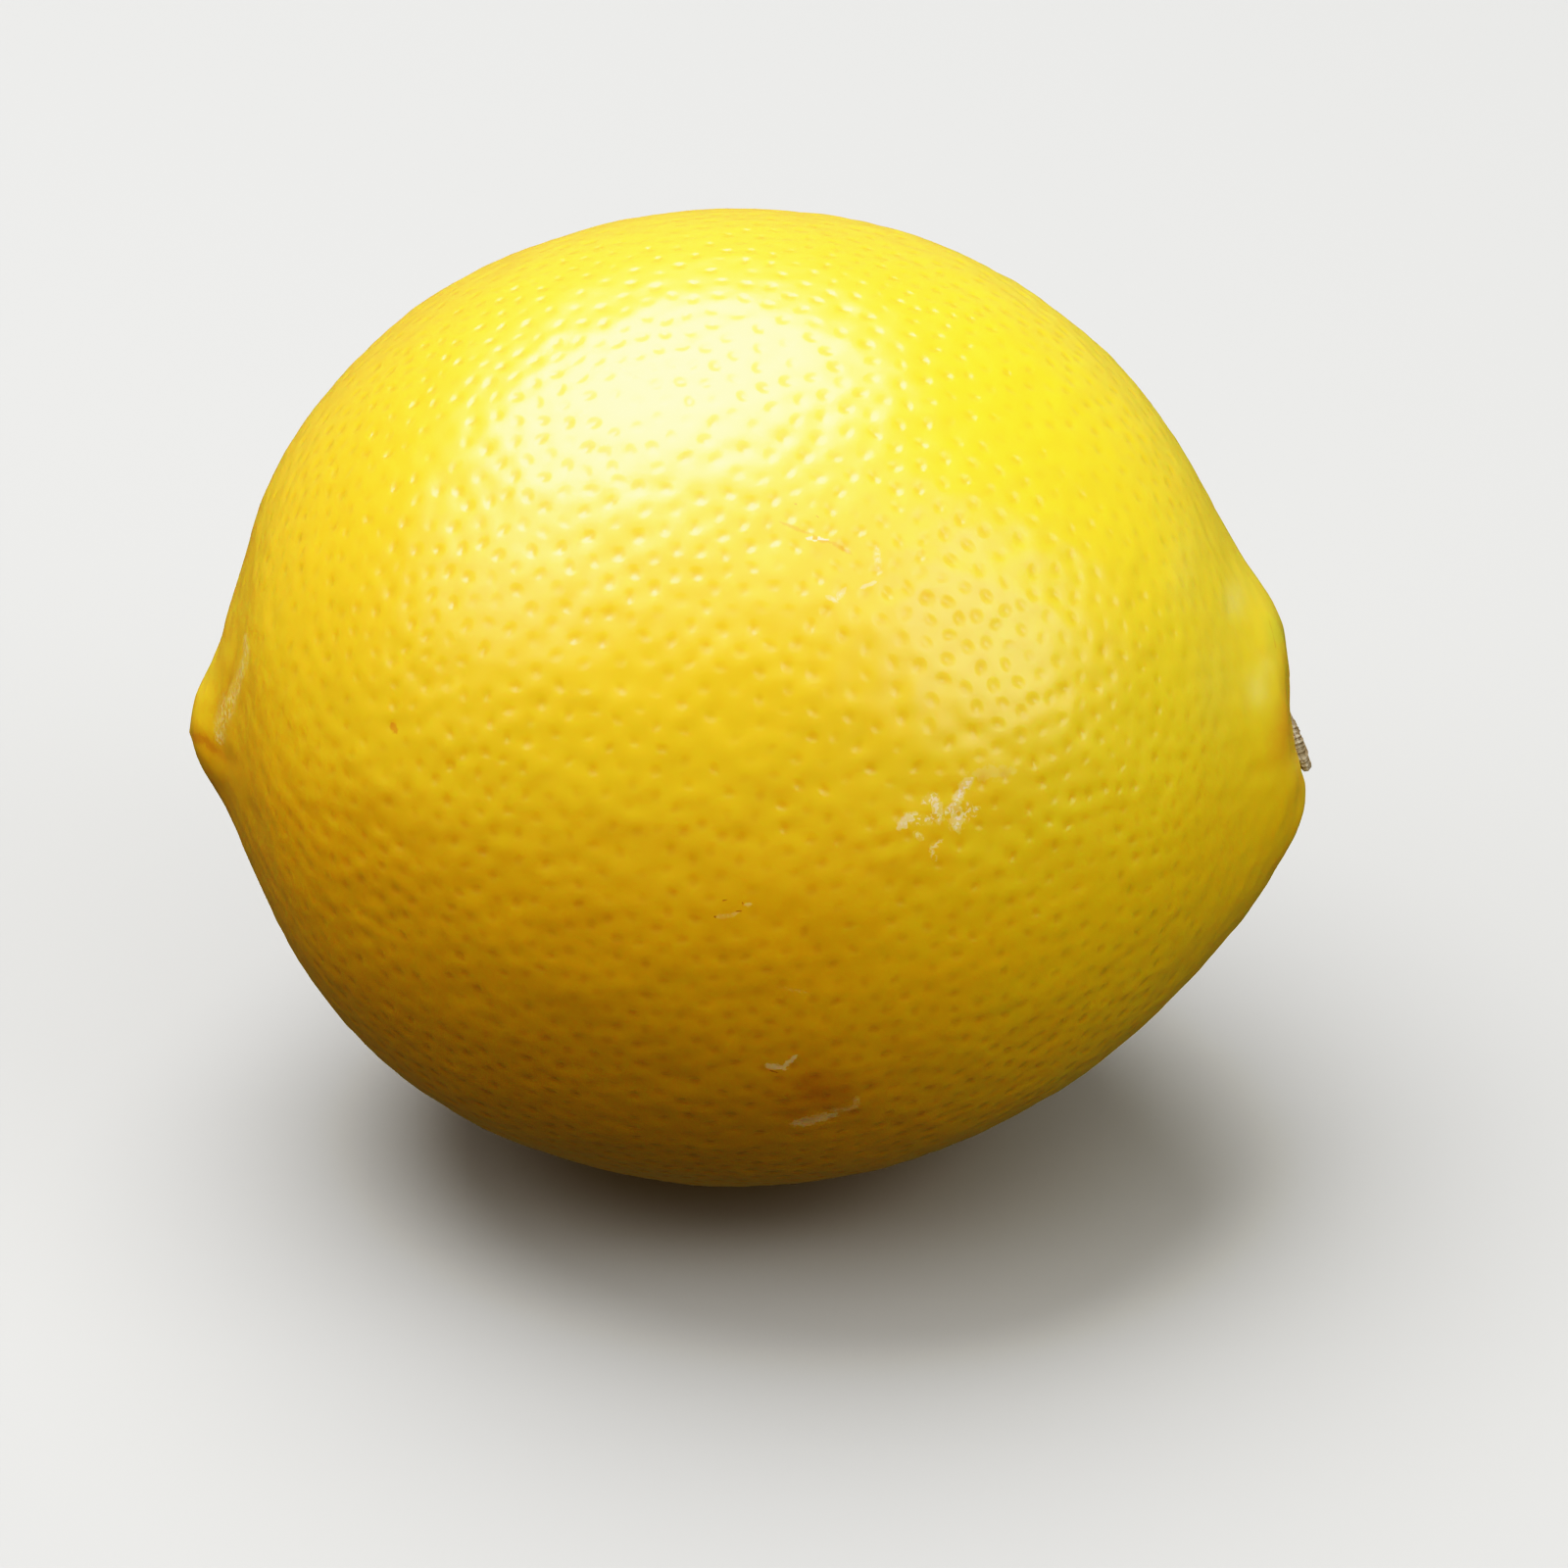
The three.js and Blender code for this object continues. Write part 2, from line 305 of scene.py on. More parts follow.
def pitDirections():
    # a spiral from end to end that follows the crowding, jittered, then pushed apart a little each round;
    # even spacing is that of a net of equal triangles with as many corners on a ball of radius 1
    chance = np.random.default_rng(peel["seeds"]["pits"])
    cosine = np.linspace(1, -1, peel["spiralSteps"])
    filled = np.cumsum(crowding(cosine))
    filled = filled / filled[-1] * peel["pitCount"]
    number = np.arange(peel["pitCount"]) + 0.5
    along = np.interp(number, filled, cosine)
    spots = aroundX(along, number * goldenAngle + peel["pitJitter"] * chance.random(len(number)))
    evenSpacing = np.sqrt(8 * np.pi / (np.sqrt(3) * peel["pitCount"]))
    for _ in range(peel["pitRounds"]):
        reach = peel["pushReach"] * evenSpacing / np.sqrt(crowding(spots[:, 0]))
        distance = np.sqrt(np.maximum(2 - 2 * spots @ spots.T, 0))
        pull = np.clip(reach[:, None] - distance, 0, None) / np.maximum(distance, tiny)
        np.fill_diagonal(pull, 0)
        spots += peel["push"] * (spots * pull.sum(1)[:, None] - pull @ spots)
        spots /= np.linalg.norm(spots, axis=1)[:, None]
    return spots


def nearestOf(directions, spots, chunk=4096):
    # index of the spot with the largest dot product, worked out in chunks of rows
    best = [np.argmax(directions[i:i + chunk] @ spots.T, axis=1) for i in range(0, len(directions), chunk)]
    return np.concatenate(best)


def outwardNormals(points, quads):
    # average of the cross products of the diagonals of the quads round each point
    corners = points[quads]
    facing = np.cross(corners[:, 2] - corners[:, 0], corners[:, 3] - corners[:, 1])
    normals = np.zeros_like(points)
    for corner in range(4):
        np.add.at(normals, quads[:, corner], facing)
    return normals / np.linalg.norm(normals, axis=1)[:, None]


def roundNoise(turn, count, chance):
    # smooth random values round a circle: random numbers at equal steps joined by cosine ramps
    values = chance.random(count) * 2 - 1
    place = turn / (2 * np.pi) * count
    low = np.floor(place).astype(int)
    ramp = 0.5 - 0.5 * np.cos(np.pi * (place - low))
    return values[low % count] * (1 - ramp) + values[(low + 1) % count] * ramp


def imagePixels(points):
    # where points, given from the middle of the body, fall in the photograph
    scale = view["pixelsPerMillimetre"] * view["distance"] / (view["distance"] - points @ front)
    across = view["middlePixel"][0] + scale * points[:, 0]
    down = view["middlePixel"][1] - scale * (points @ up)
    return np.stack([across, down], 1)


def buildMesh(name, points, faces):
    # a smooth-shaded object at the origin, with its points turned from millimetres to metres
    mesh = bpy.data.meshes.new(name)
    mesh.from_pydata((points * millimetre).tolist(), [], faces)
    mesh.update()
    mesh.polygons.foreach_set("use_smooth", np.ones(len(mesh.polygons), dtype=bool))
    piece = bpy.data.objects.new(name, mesh)
    bpy.context.scene.collection.objects.link(piece)
    return piece


def addField(piece, name, values):
    # one number or one vector for each point of the mesh, or for each corner of its faces
    vector = values.ndim == 2
    domain = "POINT" if len(values) == len(piece.data.vertices) else "CORNER"
    field = piece.data.attributes.new(name, "FLOAT_VECTOR" if vector else "FLOAT", domain)
    field.data.foreach_set("vector" if vector else "value", values.astype(np.float32).ravel())


# marks on the peel, each placed by its pixels in the photograph, with its width in millimetres.
# Tone: 1 is pale, -1 is dark, 0 to -0.5 orange. A flaky mark is broken up into grains.
strokes = (
    {"pixels": ((787, 1092), (799, 1094)), "width": 0.40, "tone": 0.8, "flaky": 0},
    {"pixels": ((799, 1094), (815, 1082)), "width": 0.24, "tone": 0.8, "flaky": 0},
    # painted shadow along the lower side of the pale sliver
    {"pixels": ((786, 1097), (796, 1099)), "width": 0.06, "tone": -0.62, "flaky": 0},
    {"pixels": ((817, 1149), (838, 1145), (849, 1141)), "width": 0.65, "tone": 0.7, "flaky": 0.1},
    {"pixels": ((851, 1136), (865, 1136), (875, 1131)), "width": 0.4, "tone": 0.55, "flaky": 0.6},
    {"pixels": ((875, 1131), (875, 1124)), "width": 0.32, "tone": 0.6, "flaky": 0.6},
    {"pixels": ((925, 847), (932, 841)), "width": 0.5, "tone": 0.9, "flaky": 0.3},
    {"pixels": ((934, 843), (949, 841), (958, 839)), "width": 0.4, "tone": 0.75, "flaky": 0.9},
    {"pixels": ((946, 823), (955, 817), (957, 822)), "width": 0.34, "tone": 0.8, "flaky": 0.8},
    {"pixels": ((955, 817), (960, 840)), "width": 0.5, "tone": 0.9, "flaky": 0.6},
    {"pixels": ((992, 799), (985, 811), (977, 826)), "width": 0.4, "tone": 0.95, "flaky": 0.6},
    {"pixels": ((977, 826), (969, 834)), "width": 0.34, "tone": 0.9, "flaky": 0.7},
    {"pixels": ((977, 828), (979, 848)), "width": 0.6, "tone": 0.95, "flaky": 0.6},
    {"pixels": ((984, 838), (995, 833)), "width": 0.6, "tone": 0.8, "flaky": 0.9},
    {"pixels": ((990, 826), (996, 836)), "width": 0.34, "tone": 0.7, "flaky": 0.9},
    {"pixels": ((938, 856), (942, 860)), "width": 0.27, "tone": 0.7, "flaky": 0.8},
    {"pixels": ((962, 864), (953, 873), (956, 882)), "width": 0.27, "tone": 0.6, "flaky": 1},
    {"pixels": ((995, 796), (1037, 792)), "width": 0.51, "tone": 0.2, "flaky": 0},
    # a fine crease line: a painted highlight along it, then the line itself with painted shade
    {"pixels": ((827, 554), (846, 557)), "width": 0.20, "tone": 0.8, "flaky": 0.2},
    {"pixels": ((799, 540), (826, 549), (838, 556)), "width": 0.15, "tone": -0.3, "flaky": 0},
    {"pixels": ((838, 556), (851, 560), (871, 570)), "width": 0.17, "tone": -0.3, "flaky": 0},
    {"pixels": ((897, 564), (899, 586)), "width": 0.3, "tone": 0.4, "flaky": 0.7},
    {"pixels": ((882, 606), (896, 600)), "width": 0.15, "tone": 0.4, "flaky": 0},
    {"pixels": ((848, 616), (855, 619), (865, 606)), "width": 0.2, "tone": 0.5, "flaky": 0.5},
    {"pixels": ((813, 520), (815, 521)), "width": 0.08, "tone": -0.62, "flaky": 0},
    {"pixels": ((835, 531), (838, 535)), "width": 0.04, "tone": -0.62, "flaky": 0},
    {"pixels": ((618, 374), (665, 396)), "width": 0.06, "tone": -0.35, "flaky": 0},
    {"pixels": ((734, 941), (750, 939), (756, 937)), "width": 0.20, "tone": 0.4, "flaky": 0.5},
    {"pixels": ((731, 941), (733, 941)), "width": 0.09, "tone": -0.62, "flaky": 0},
    {"pixels": ((755, 936), (758, 936)), "width": 0.07, "tone": -0.62, "flaky": 0},
    {"pixels": ((759, 927), (763, 929)), "width": 0.07, "tone": -0.62, "flaky": 0},
    {"pixels": ((764, 929), (768, 928)), "width": 0.17, "tone": 0.5, "flaky": 0},
    {"pixels": ((741, 925), (744, 924)), "width": 0.06, "tone": -0.6, "flaky": 0},
    {"pixels": ((402, 746), (405, 750)), "width": 0.28, "tone": -0.36, "flaky": 0},
    {"pixels": ((795, 1012), (830, 1018)), "width": 0.20, "tone": 0.25, "flaky": 0.8},
    {"pixels": ((251, 659), (253, 672)), "width": 0.9, "tone": 0.6, "flaky": 0.8},
    {"pixels": ((253, 672), (246, 690), (240, 709)), "width": 1.0, "tone": 0.5, "flaky": 0.8},
    {"pixels": ((240, 709), (232, 728)), "width": 1.3, "tone": 0.55, "flaky": 0.9},
    {"pixels": ((228, 728), (224, 751)), "width": 1.7, "tone": 0.55, "flaky": 0.9},
    {"pixels": ((197, 752), (209, 757), (221, 766)), "width": 0.45, "tone": -0.25, "flaky": 0},
    {"pixels": ((221, 766), (232, 776)), "width": 0.45, "tone": -0.16, "flaky": 0},
    {"pixels": ((1295, 632), (1299, 648), (1303, 664)), "width": 0.12, "tone": -0.3, "flaky": 0},
)
# soft patches: brown or orange blotches, some of them painted shade; pale patches that are painted sheen on
# a little lighter peel; and peel that is still green
stainsAndShade = (
    {"pixel": (832, 1116), "size": (38, 26), "strength": 0.55},
    {"pixel": (827, 1106), "size": (10, 6), "strength": 0.35},
    {"pixel": (838, 1119), "size": (11, 7), "strength": 0.4},
    {"pixel": (811, 1139), "size": (13, 9), "strength": 0.4},
    {"pixel": (862, 1120), "size": (9, 16), "strength": 0.25},
    {"pixel": (1136, 659), "size": (10, 11), "strength": 0.3},
    {"pixel": (1169, 671), "size": (11, 13), "strength": 0.35},
    {"pixel": (1146, 684), "size": (11, 9), "strength": 0.3},
    # painted shade beside a fine crease line
    {"pixel": (850, 562), "size": (26, 9), "strength": 0.2},
    {"pixel": (519, 267), "size": (20, 14), "strength": 0.3},
    # painted shade in the notch of the recess, beside the button
    {"pixel": (1311, 732), "size": (9, 24), "strength": 0.7},
    {"pixel": (1306, 764), "size": (14, 28), "strength": 0.5},
    {"pixel": (1292, 666), "size": (12, 8), "strength": 0.4},
)
# painted sheen on the collar's lumps and over the right lamp's reflection, laid on peel that is a little
# lighter
paleAndSheenPatches = (
    {"pixel": (1260, 614), "size": (11, 17), "strength": 0.9},
    {"pixel": (1284, 706), "size": (13, 20), "strength": 0.95},
    {"pixel": (1294, 678), "size": (9, 12), "strength": 0.5},
    {"pixel": (1240, 700), "size": (22, 50), "strength": 0.3},
    {"pixel": (1208, 590), "size": (16, 40), "strength": 0.3},
)
greenPatches = (
    {"pixel": (1307, 645), "size": (9, 17), "strength": 0.7},
    {"pixel": (1297, 650), "size": (6, 22), "strength": 0.4},
)
# how the marks are laid on the peel
marking = {
    "facingFrom": (0.0, 0.12),   # how squarely the peel faces the camera, from no mark to a full one
    "facingEnough": 0.5,
    "nearPoints": 3,             # points that a pixel's place is worked out from
    "nearSoftening": 0.001,      # square pixels added to their distance
    "strokeReach": 3.0,          # millimetres
    "farAway": 9.0,              # place along and across where there is no stroke
}


def blotches(pixels, facing, marks):
    # each mark is a bell of the pixel distance, measured in its own width and height
    amount = np.zeros(len(pixels))
    for mark in marks:
        apart = (pixels - np.array(mark["pixel"])) / np.array(mark["size"])
        amount += mark["strength"] * np.exp(-(apart ** 2).sum(1)) * facing
    return np.clip(amount, 0, 1)


def peelPlace(pixel, points, pixels, facing):
    # the point of the peel that the camera sees at this pixel: its nearest points, weighed by nearness
    apart = ((pixels - np.array(pixel)) ** 2).sum(1)
    apart[facing < marking["facingEnough"]] = np.inf
    nearest = np.argsort(apart)[:marking["nearPoints"]]
    share = 1 / (apart[nearest] + marking["nearSoftening"])
    return (points[nearest] * share[:, None]).sum(0) / share.sum()


def strokeFields(points, normals, quads, pixels, facing):
    # at each corner: how far it lies along and across its face's nearest stroke, in half-lengths and widths
    middles = points[quads].mean(1)
    nearest = np.full(len(quads), marking["strokeReach"])
    place = np.full((len(quads), 4, 3), marking["farAway"])
    tone = np.zeros((len(quads), 4))
    for stroke in strokes:
        places = [peelPlace(pixel, points, pixels, facing) for pixel in stroke["pixels"]]
        for start, end in zip(places[:-1], places[1:]):
            half = (end - start) / 2
            length = np.linalg.norm(half)
            offset = middles - start - half
            share = np.clip(offset @ half / length ** 2, -1, 1)
            far = np.linalg.norm(offset - share[:, None] * half, axis=1)
            closer = far < nearest
            nearest[closer] = far[closer]
            corners = points[quads[closer]] - start - half
            sideways = np.cross(normals[quads[closer]], half / length)
            place[closer, :, 0] = corners @ half / length / (length + stroke["width"])
            place[closer, :, 1] = (corners * sideways).sum(2) / stroke["width"]
            place[closer, :, 2] = stroke["flaky"]
            tone[closer] = stroke["tone"]
    return place.reshape(-1, 3), tone.ravel()


def pitFields(directions, points, quads, spots, strength):
    # at each corner: offset from the pit nearest to the face, stretched one way, and how strong that pit is
    chance = np.random.default_rng(peel["seeds"]["ways"])
    middles = directions[quads].mean(1)
    spotPoints = peelPoints(spots)
    nearest = nearestOf(middles / np.linalg.norm(middles, axis=1)[:, None], spots)
    ways = chance.normal(size=spots.shape)
    ways /= np.linalg.norm(ways, axis=1)[:, None]
    offset = points[quads] - spotPoints[nearest][:, None]
    along = (offset * ways[nearest][:, None]).sum(2)
    offset += peel["pitStretch"] * along[..., None] * ways[nearest][:, None]
    return offset.reshape(-1, 3), np.repeat(strength[nearest], 4)


def fromAxis(points):
    # how far a point lies above and ahead of the fruit's own axis; the axis sinks towards both ends
    drop = nipple["drop"] * smooth(-points[:, 0], *peel["nippleSinks"])
    share = (np.maximum(0, points[:, 0]) / form["sagReach"]) ** form["sagPower"]
    drop += form["sagDepth"] * peel["stemSinks"] * share
    return points @ up + drop, points @ front


def streakField(points):
    # round noise of the turn round the fruit's axis, faded out with the distance from it
    chance = np.random.default_rng(peel["seeds"]["streaks"])
    high, ahead = fromAxis(points)
    distance = np.hypot(high, ahead)
    swing, pace = peel["streakWander"]
    turn = np.arctan2(high, ahead) + np.pi + peel["streakLean"] * distance + swing * np.sin(pace * distance)
    streak = sum(roundNoise(turn, count, chance) for count in peel["streaks"]) / len(peel["streaks"])
    streak *= np.where(points[:, 0] < 0, peel["nippleStreaks"], 1)
    return streak * (1 - smooth(distance, *peel["streakReach"])) * smooth(distance, *peel["streakStart"])


def pitStrengths(spots):
    # a random strength for each pit, which grows from faint to full with the distance from the fruit's axis
    chance = np.random.default_rng(peel["seeds"]["depths"])
    distance = np.hypot(*fromAxis(peelPoints(spots)))
    nearNipple = smooth(distance, *peel["nippleFade"])
    nearStem = smooth(distance, *peel["stemFade"])
    grown = np.where(spots[:, 0] < 0, nearNipple, nearStem)
    weakest, strongest = peel["pitStrengths"]
    strength = weakest + (strongest - weakest) * chance.random(len(spots))
    return strength * (peel["faintest"] + (1 - peel["faintest"]) * grown)


def makePeel():
    # the smooth form, moved along its normals by the ripples and streaks less the nearest pit's bell
    directions, quads = patchDirections(peel["cells"])
    smoothPoints = peelPoints(directions)
    normals = outwardNormals(smoothPoints, quads)
    spots = pitDirections()
    strength = pitStrengths(spots)
    nearest = nearestOf(directions, spots)
    pitDistance = np.linalg.norm(smoothPoints - peelPoints(spots)[nearest], axis=1)
    sink = peel["pitDepth"] * strength[nearest] * bell(pitDistance, peel["pitWidth"])
    streak = streakField(smoothPoints)
    relief = waveField(directions, peel["ripples"]) + peel["streakHeight"] * streak - sink
    placed = toFrame(smoothPoints + normals * relief[:, None])
    placed[:, 2] = np.maximum(placed[:, 2], 0)
    piece = buildMesh("lemon_peel", placed, quads.tolist())
    toPit, pitStrength = pitFields(directions, smoothPoints, quads, spots, strength)
    addField(piece, "toPit", toPit)
    addField(piece, "pitStrength", pitStrength)
    addColourFields(piece, directions, smoothPoints, streak)
    addMarks(piece, smoothPoints, normals, quads)
    return piece


def addColourFields(piece, directions, points, streak):
    # warmth runs from -1, lemon yellow at the stem, to 1, orange at the nipple, with mottling everywhere
    mottle = waveField(directions, peel["mottle"])
    warmth = smooth(-points[:, 0], *peel["orangeFrom"]) - smooth(points[:, 0], *peel["lemonFrom"])
    warmth += waveField(directions, peel["broad"])
    warmth += peel["mottleWarmth"] * mottle + peel["streakWarmth"] * streak
    addField(piece, "warmth", warmth)
    high, ahead = fromAxis(points)
    blossom = points[:, 0] < 0
    hub = np.hypot(high - collar["recessHigh"], ahead)
    addField(piece, "fromHub", np.where(blossom, form["radius"], hub))
    above = points @ up + nipple["drop"]
    deepest = max(crease["depth"] for crease in creases)
    addField(piece, "crease", np.where(blossom, creaseDepth(above, ahead) / deepest, 0.0))


def addMarks(piece, points, normals, quads):
    # soft patches as one number for each point, strokes as a place and a tone for each corner
    pixels = imagePixels(points)
    facing = smooth(normals @ front, *marking["facingFrom"])
    addField(piece, "stainAndShade", blotches(pixels, facing, stainsAndShade))
    addField(piece, "palenessAndSheen", blotches(pixels, facing, paleAndSheenPatches))
    addField(piece, "green", blotches(pixels, facing, greenPatches))
    place, tone = strokeFields(points, normals, quads, pixels, facing)
    addField(piece, "strokePlace", place)
    addField(piece, "strokeTone", tone)


# the dried button: the same section, lobes and place as the solid, with finer fibres
button = {
    "radius": 2.1,
    "lobes": 5,
    "lobeDepth": 0.16,
    "faceX": 34.06,
    "dropFromMiddle": 2.38,
    "tilt": np.radians(21.8),
    "rings": 90,
    "sectors": 320,
    "coarseWaves": 23,
    "fibres": 70,
    "threads": 140,
    "fibreDepth": 0.06,
    "raggedness": 0.1,
    "edgePower": 4,                  # how closely the lobes and rags keep to the edge
    "liftStart": 0.5,                # share of the radius inside which the fibres sink to nothing
    "edgeMix": (0.6, 0.6, 0.3),      # coarse waves, fibres and threads in the ragged edge
    "liftMix": (0.5, 0.6, 0.35),     # and in the height of the face
    "rimStations": (5, 7),           # rows of the section below, from the face to the rim
    "seed": 3,
    "faceGrain": (9.0, 0.8),         # fineness of the fibres round the face and along its spokes
    "rimGrain": (3.0, 9.0),          # and on the rim, round it and through its thickness
    "rimShift": 1.0,                 # millimetres, so that the rim's grain isn't the face's
}
# stations from the middle of the face over the edge to the end of the neck: share of the radius, height
buttonSection = (
    (0.0, -0.14),
    (0.22, -0.1),
    (0.36, 0.04),
    (0.5, 0.05),
    (0.62, -0.06),
    (0.84, -0.05),
    (0.93, -0.12),
    (1.0, -0.4),
    (0.97, -0.68),
    (0.76, -0.85),
    (0.52, -0.88),
    (0.48, -1.15),
    (0.25, -1.2),
    (0.0, -1.2),
)


def sectionRings():
    # rings at equal steps of the section's length: share of the radius, height, and 1 from the rim onwards
    stations = np.array(buttonSection)
    length = np.concatenate([[0], np.cumsum(np.linalg.norm(np.diff(stations, axis=0), axis=1))])
    along = np.linspace(0, length[-1], button["rings"] + 1)[1:-1]
    share = np.interp(along, length, stations[:, 0])[:, None]
    height = np.interp(along, length, stations[:, 1])[:, None]
    rim = smooth(along, *length[list(button["rimStations"])])[:, None]
    return share, height, rim


def placeButton(local):
    # leant back into the recess, and moved to its place a little below the middle line
    outward = Vector((np.cos(button["tilt"]), *(up * np.sin(button["tilt"]))[1:]))
    turnTo = np.array(Vector((1, 0, 0)).rotation_difference(outward).to_matrix())
    middle = np.array([button["faceX"], 0, 0]) - up * button["dropFromMiddle"]
    return toFrame(local @ turnTo.T + middle)


def makeButton():
    # the section turned round its axis; fibres lift and sink along the spokes; the edge is lobed and ragged
    chance = np.random.default_rng(button["seed"])
    share, height, rim = sectionRings()
    turn = np.arange(button["sectors"]) / button["sectors"] * 2 * np.pi
    counts = (button["coarseWaves"], button["fibres"], button["threads"])
    waves = np.stack([roundNoise(turn, count, chance) for count in counts])
    nearEdge = share ** button["edgePower"]
    lobe = 1 - button["lobeDepth"] * (0.5 - 0.5 * np.cos(button["lobes"] * turn)) * nearEdge
    rag = 1 + button["raggedness"] * (np.array(button["edgeMix"]) @ waves) * nearEdge
    radius = button["radius"] * share * lobe * rag
    lift = button["fibreDepth"] * (np.array(button["liftMix"]) @ waves)
    lift = lift * np.minimum(1, share / button["liftStart"])
    local = np.stack([height + lift, radius * np.cos(turn), radius * np.sin(turn)], -1).reshape(-1, 3)
    poles = np.array([[buttonSection[0][1], 0, 0], [buttonSection[-1][1], 0, 0]])
    local = np.concatenate([local, poles])
    piece = buildMesh("dried_button", placeButton(local), ringFaces(len(local)))
    across = button["faceGrain"][0] * (1 - rim) + button["rimGrain"][0] * rim
    through = button["faceGrain"][1] * radius * (1 - rim)
    through += button["rimGrain"][1] * (height - button["rimShift"]) * rim
    grain = np.stack([across * np.cos(turn), across * np.sin(turn), through], -1).reshape(-1, 3)
    addField(piece, "grainPlace", np.concatenate([grain, np.zeros((2, 3))]))
    addField(piece, "rim", np.concatenate([np.repeat(rim[:, 0], button["sectors"]), [0, 1]]))
    return piece


def ringFaces(pointCount):
    # quads between neighbouring rings, and a fan at each pole; the poles are the last two points
    sectors = button["sectors"]
    here = np.arange(sectors)
    following = (here + 1) % sectors
    rows = np.arange(button["rings"] - 2)[:, None] * sectors
    quads = np.stack([rows + here, rows + sectors + here, rows + sectors + following, rows + following], -1)
    lastRow = (button["rings"] - 2) * sectors
    faceFan = np.stack([np.full(sectors, pointCount - 2), here, following], -1)
    neckFan = np.stack([np.full(sectors, pointCount - 1), lastRow + following, lastRow + here], -1)
    return quads.reshape(-1, 4).tolist() + faceFan.tolist() + neckFan.tolist()


class Nodes:
    # short calls for building a material's tree
    def __init__(self, name):
        self.material = bpy.data.materials.new(name)
        self.material.use_nodes = True
        self.tree = self.material.node_tree
        self.shader = self.tree.nodes["Principled BSDF"]

    def add(self, kind, inputs=(), **settings):
        node = self.tree.nodes.new(kind)
        for setting, value in settings.items():
            setattr(node, setting, value)
        for socket, value in inputs:
            self.feed(node.inputs[socket], value)
        return node

    def feed(self, socket, value):
        if isinstance(value, bpy.types.NodeSocket):
            self.tree.links.new(value, socket)
        else:
            socket.default_value = value

    def field(self, name, output="Fac"):
        return self.add("ShaderNodeAttribute", attribute_name=name).outputs[output]

    def math(self, operation, first, second=0.0):
        return self.add("ShaderNodeMath", [(0, first), (1, second)], operation=operation).outputs[0]

    def ramp(self, value, low, high, start=0.0, end=1.0):
        # smooth step from start to end as the value goes from low to high
        inputs = [("Value", value), ("From Min", low), ("From Max", high)]
        inputs += [("To Min", start), ("To Max", end)]
        return self.add("ShaderNodeMapRange", inputs, interpolation_type="SMOOTHSTEP").outputs["Result"]

    def blend(self, share, first, second, kind="MIX"):
        # a mix node's two colours are its inputs 6 and 7, and its mixed colour is its output 2
        mix = self.tree.nodes.new("ShaderNodeMix")
        mix.data_type = "RGBA"
        mix.blend_type = kind
        self.feed(mix.inputs[0], share)
        self.feed(mix.inputs[6], first)
        self.feed(mix.inputs[7], second)
        return mix.outputs[2]

    def noise(self, place, scale, detail, roughness):
        inputs = [("Vector", place), ("Scale", scale), ("Detail", detail), ("Roughness", roughness)]
        return self.add("ShaderNodeTexNoise", inputs).outputs["Fac"]

    def place(self):
        return self.add("ShaderNodeTexCoord").outputs["Object"]

    def length(self, vector):
        return self.add("ShaderNodeVectorMath", [(0, vector)], operation="LENGTH").outputs["Value"]

    def parts(self, vector):
        return self.add("ShaderNodeSeparateXYZ", [(0, vector)]).outputs

    def set(self, **values):
        # fixed values on the shader's own sockets, by name with _ for a space
        for name, value in values.items():
            self.shader.inputs[name.replace("_", " ")].default_value = value


# colours are linear light
peelLook = {
    "yellow": (0.86, 0.515, 0.007, 1),
    "orange": (0.82, 0.47, 0.005, 1),
    "lemon": (0.84, 0.59, 0.014, 1),
    "pitTint": (0.935, 0.875, 0.6, 1),
    "pitReach": (0.55, 0.05),        # millimetres from the middle of a pit, from no colour to full
    "pale": (0.94, 0.72, 0.43, 1),
    # lighter peel with painted sheen on it
    "palerAndSheen": (0.88, 0.68, 0.12, 1),
    "green": (0.60, 0.56, 0.02, 1),
    "stainAndShadeTint": (0.83, 0.66, 0.46, 1),
    # orange marks, and painted shade along a crease line
    "orangeMarkAndShadeTint": (0.85, 0.6, 0.35, 1),
    "orangeMarkAndShadeTones": (0.0, -0.5),        # tones of a stroke from no tint to full
    # painted shade in the nipple's creases, as strong as each crease is deep
    "creaseShade": (0.62, 0.26, 0.006, 1),
    "creaseShadeShare": 0.3,
    # dark specks, and a painted shadow along a sliver
    "darkMarkAndShadow": (0.20, 0.08, 0.01, 1),
    "darkMarkAndShadowTones": (-0.4, -1.0),
    # painted shade: the peel darkens towards the button, down into the recess round it
    "recess": (0.42, 0.26, 0.02, 1),
    "recessShadeEdge": (2.9, 2.2),        # millimetres from the middle of the button
    "recessShadeShare": 0.85,
    "grains": (4000, 1, 0.5),        # noise of the flakes: cells a metre, detail, roughness
    "ragged": 1.6,                   # how far the grains push a stroke's edge in and out
    "taper": 3.0,                    # power that draws a stroke's ends to a point
    "strokeEdge": (0.4, 1.1),
    "flakeHoles": (0.47, 0.58),
    "roughness": 0.45,               # of the peel under its wax, and how much more on a pale mark
    "paleRoughness": 0.3,
    "bump": 0.0001,                  # metres that a height of 1 stands up
    "dimple": 1.05,
    "dimpleReach": (0.0, 0.6),       # millimetres from the middle of a pit
    "swell": 1.15,                   # height of the soft swellings between the pits, seen in reflections
    "swells": (380, 0, 0.5),         # their noise
    "fixed": {
        "Subsurface_Weight": 0.55,
        "Subsurface_Radius": (1.0, 0.45, 0.05),
        "Subsurface_Scale": 0.0014,
        "Specular_IOR_Level": 0.6,
        "Coat_Weight": 1.0,
        "Coat_Roughness": 0.3,
        "Coat_IOR": 1.5,
    },
}


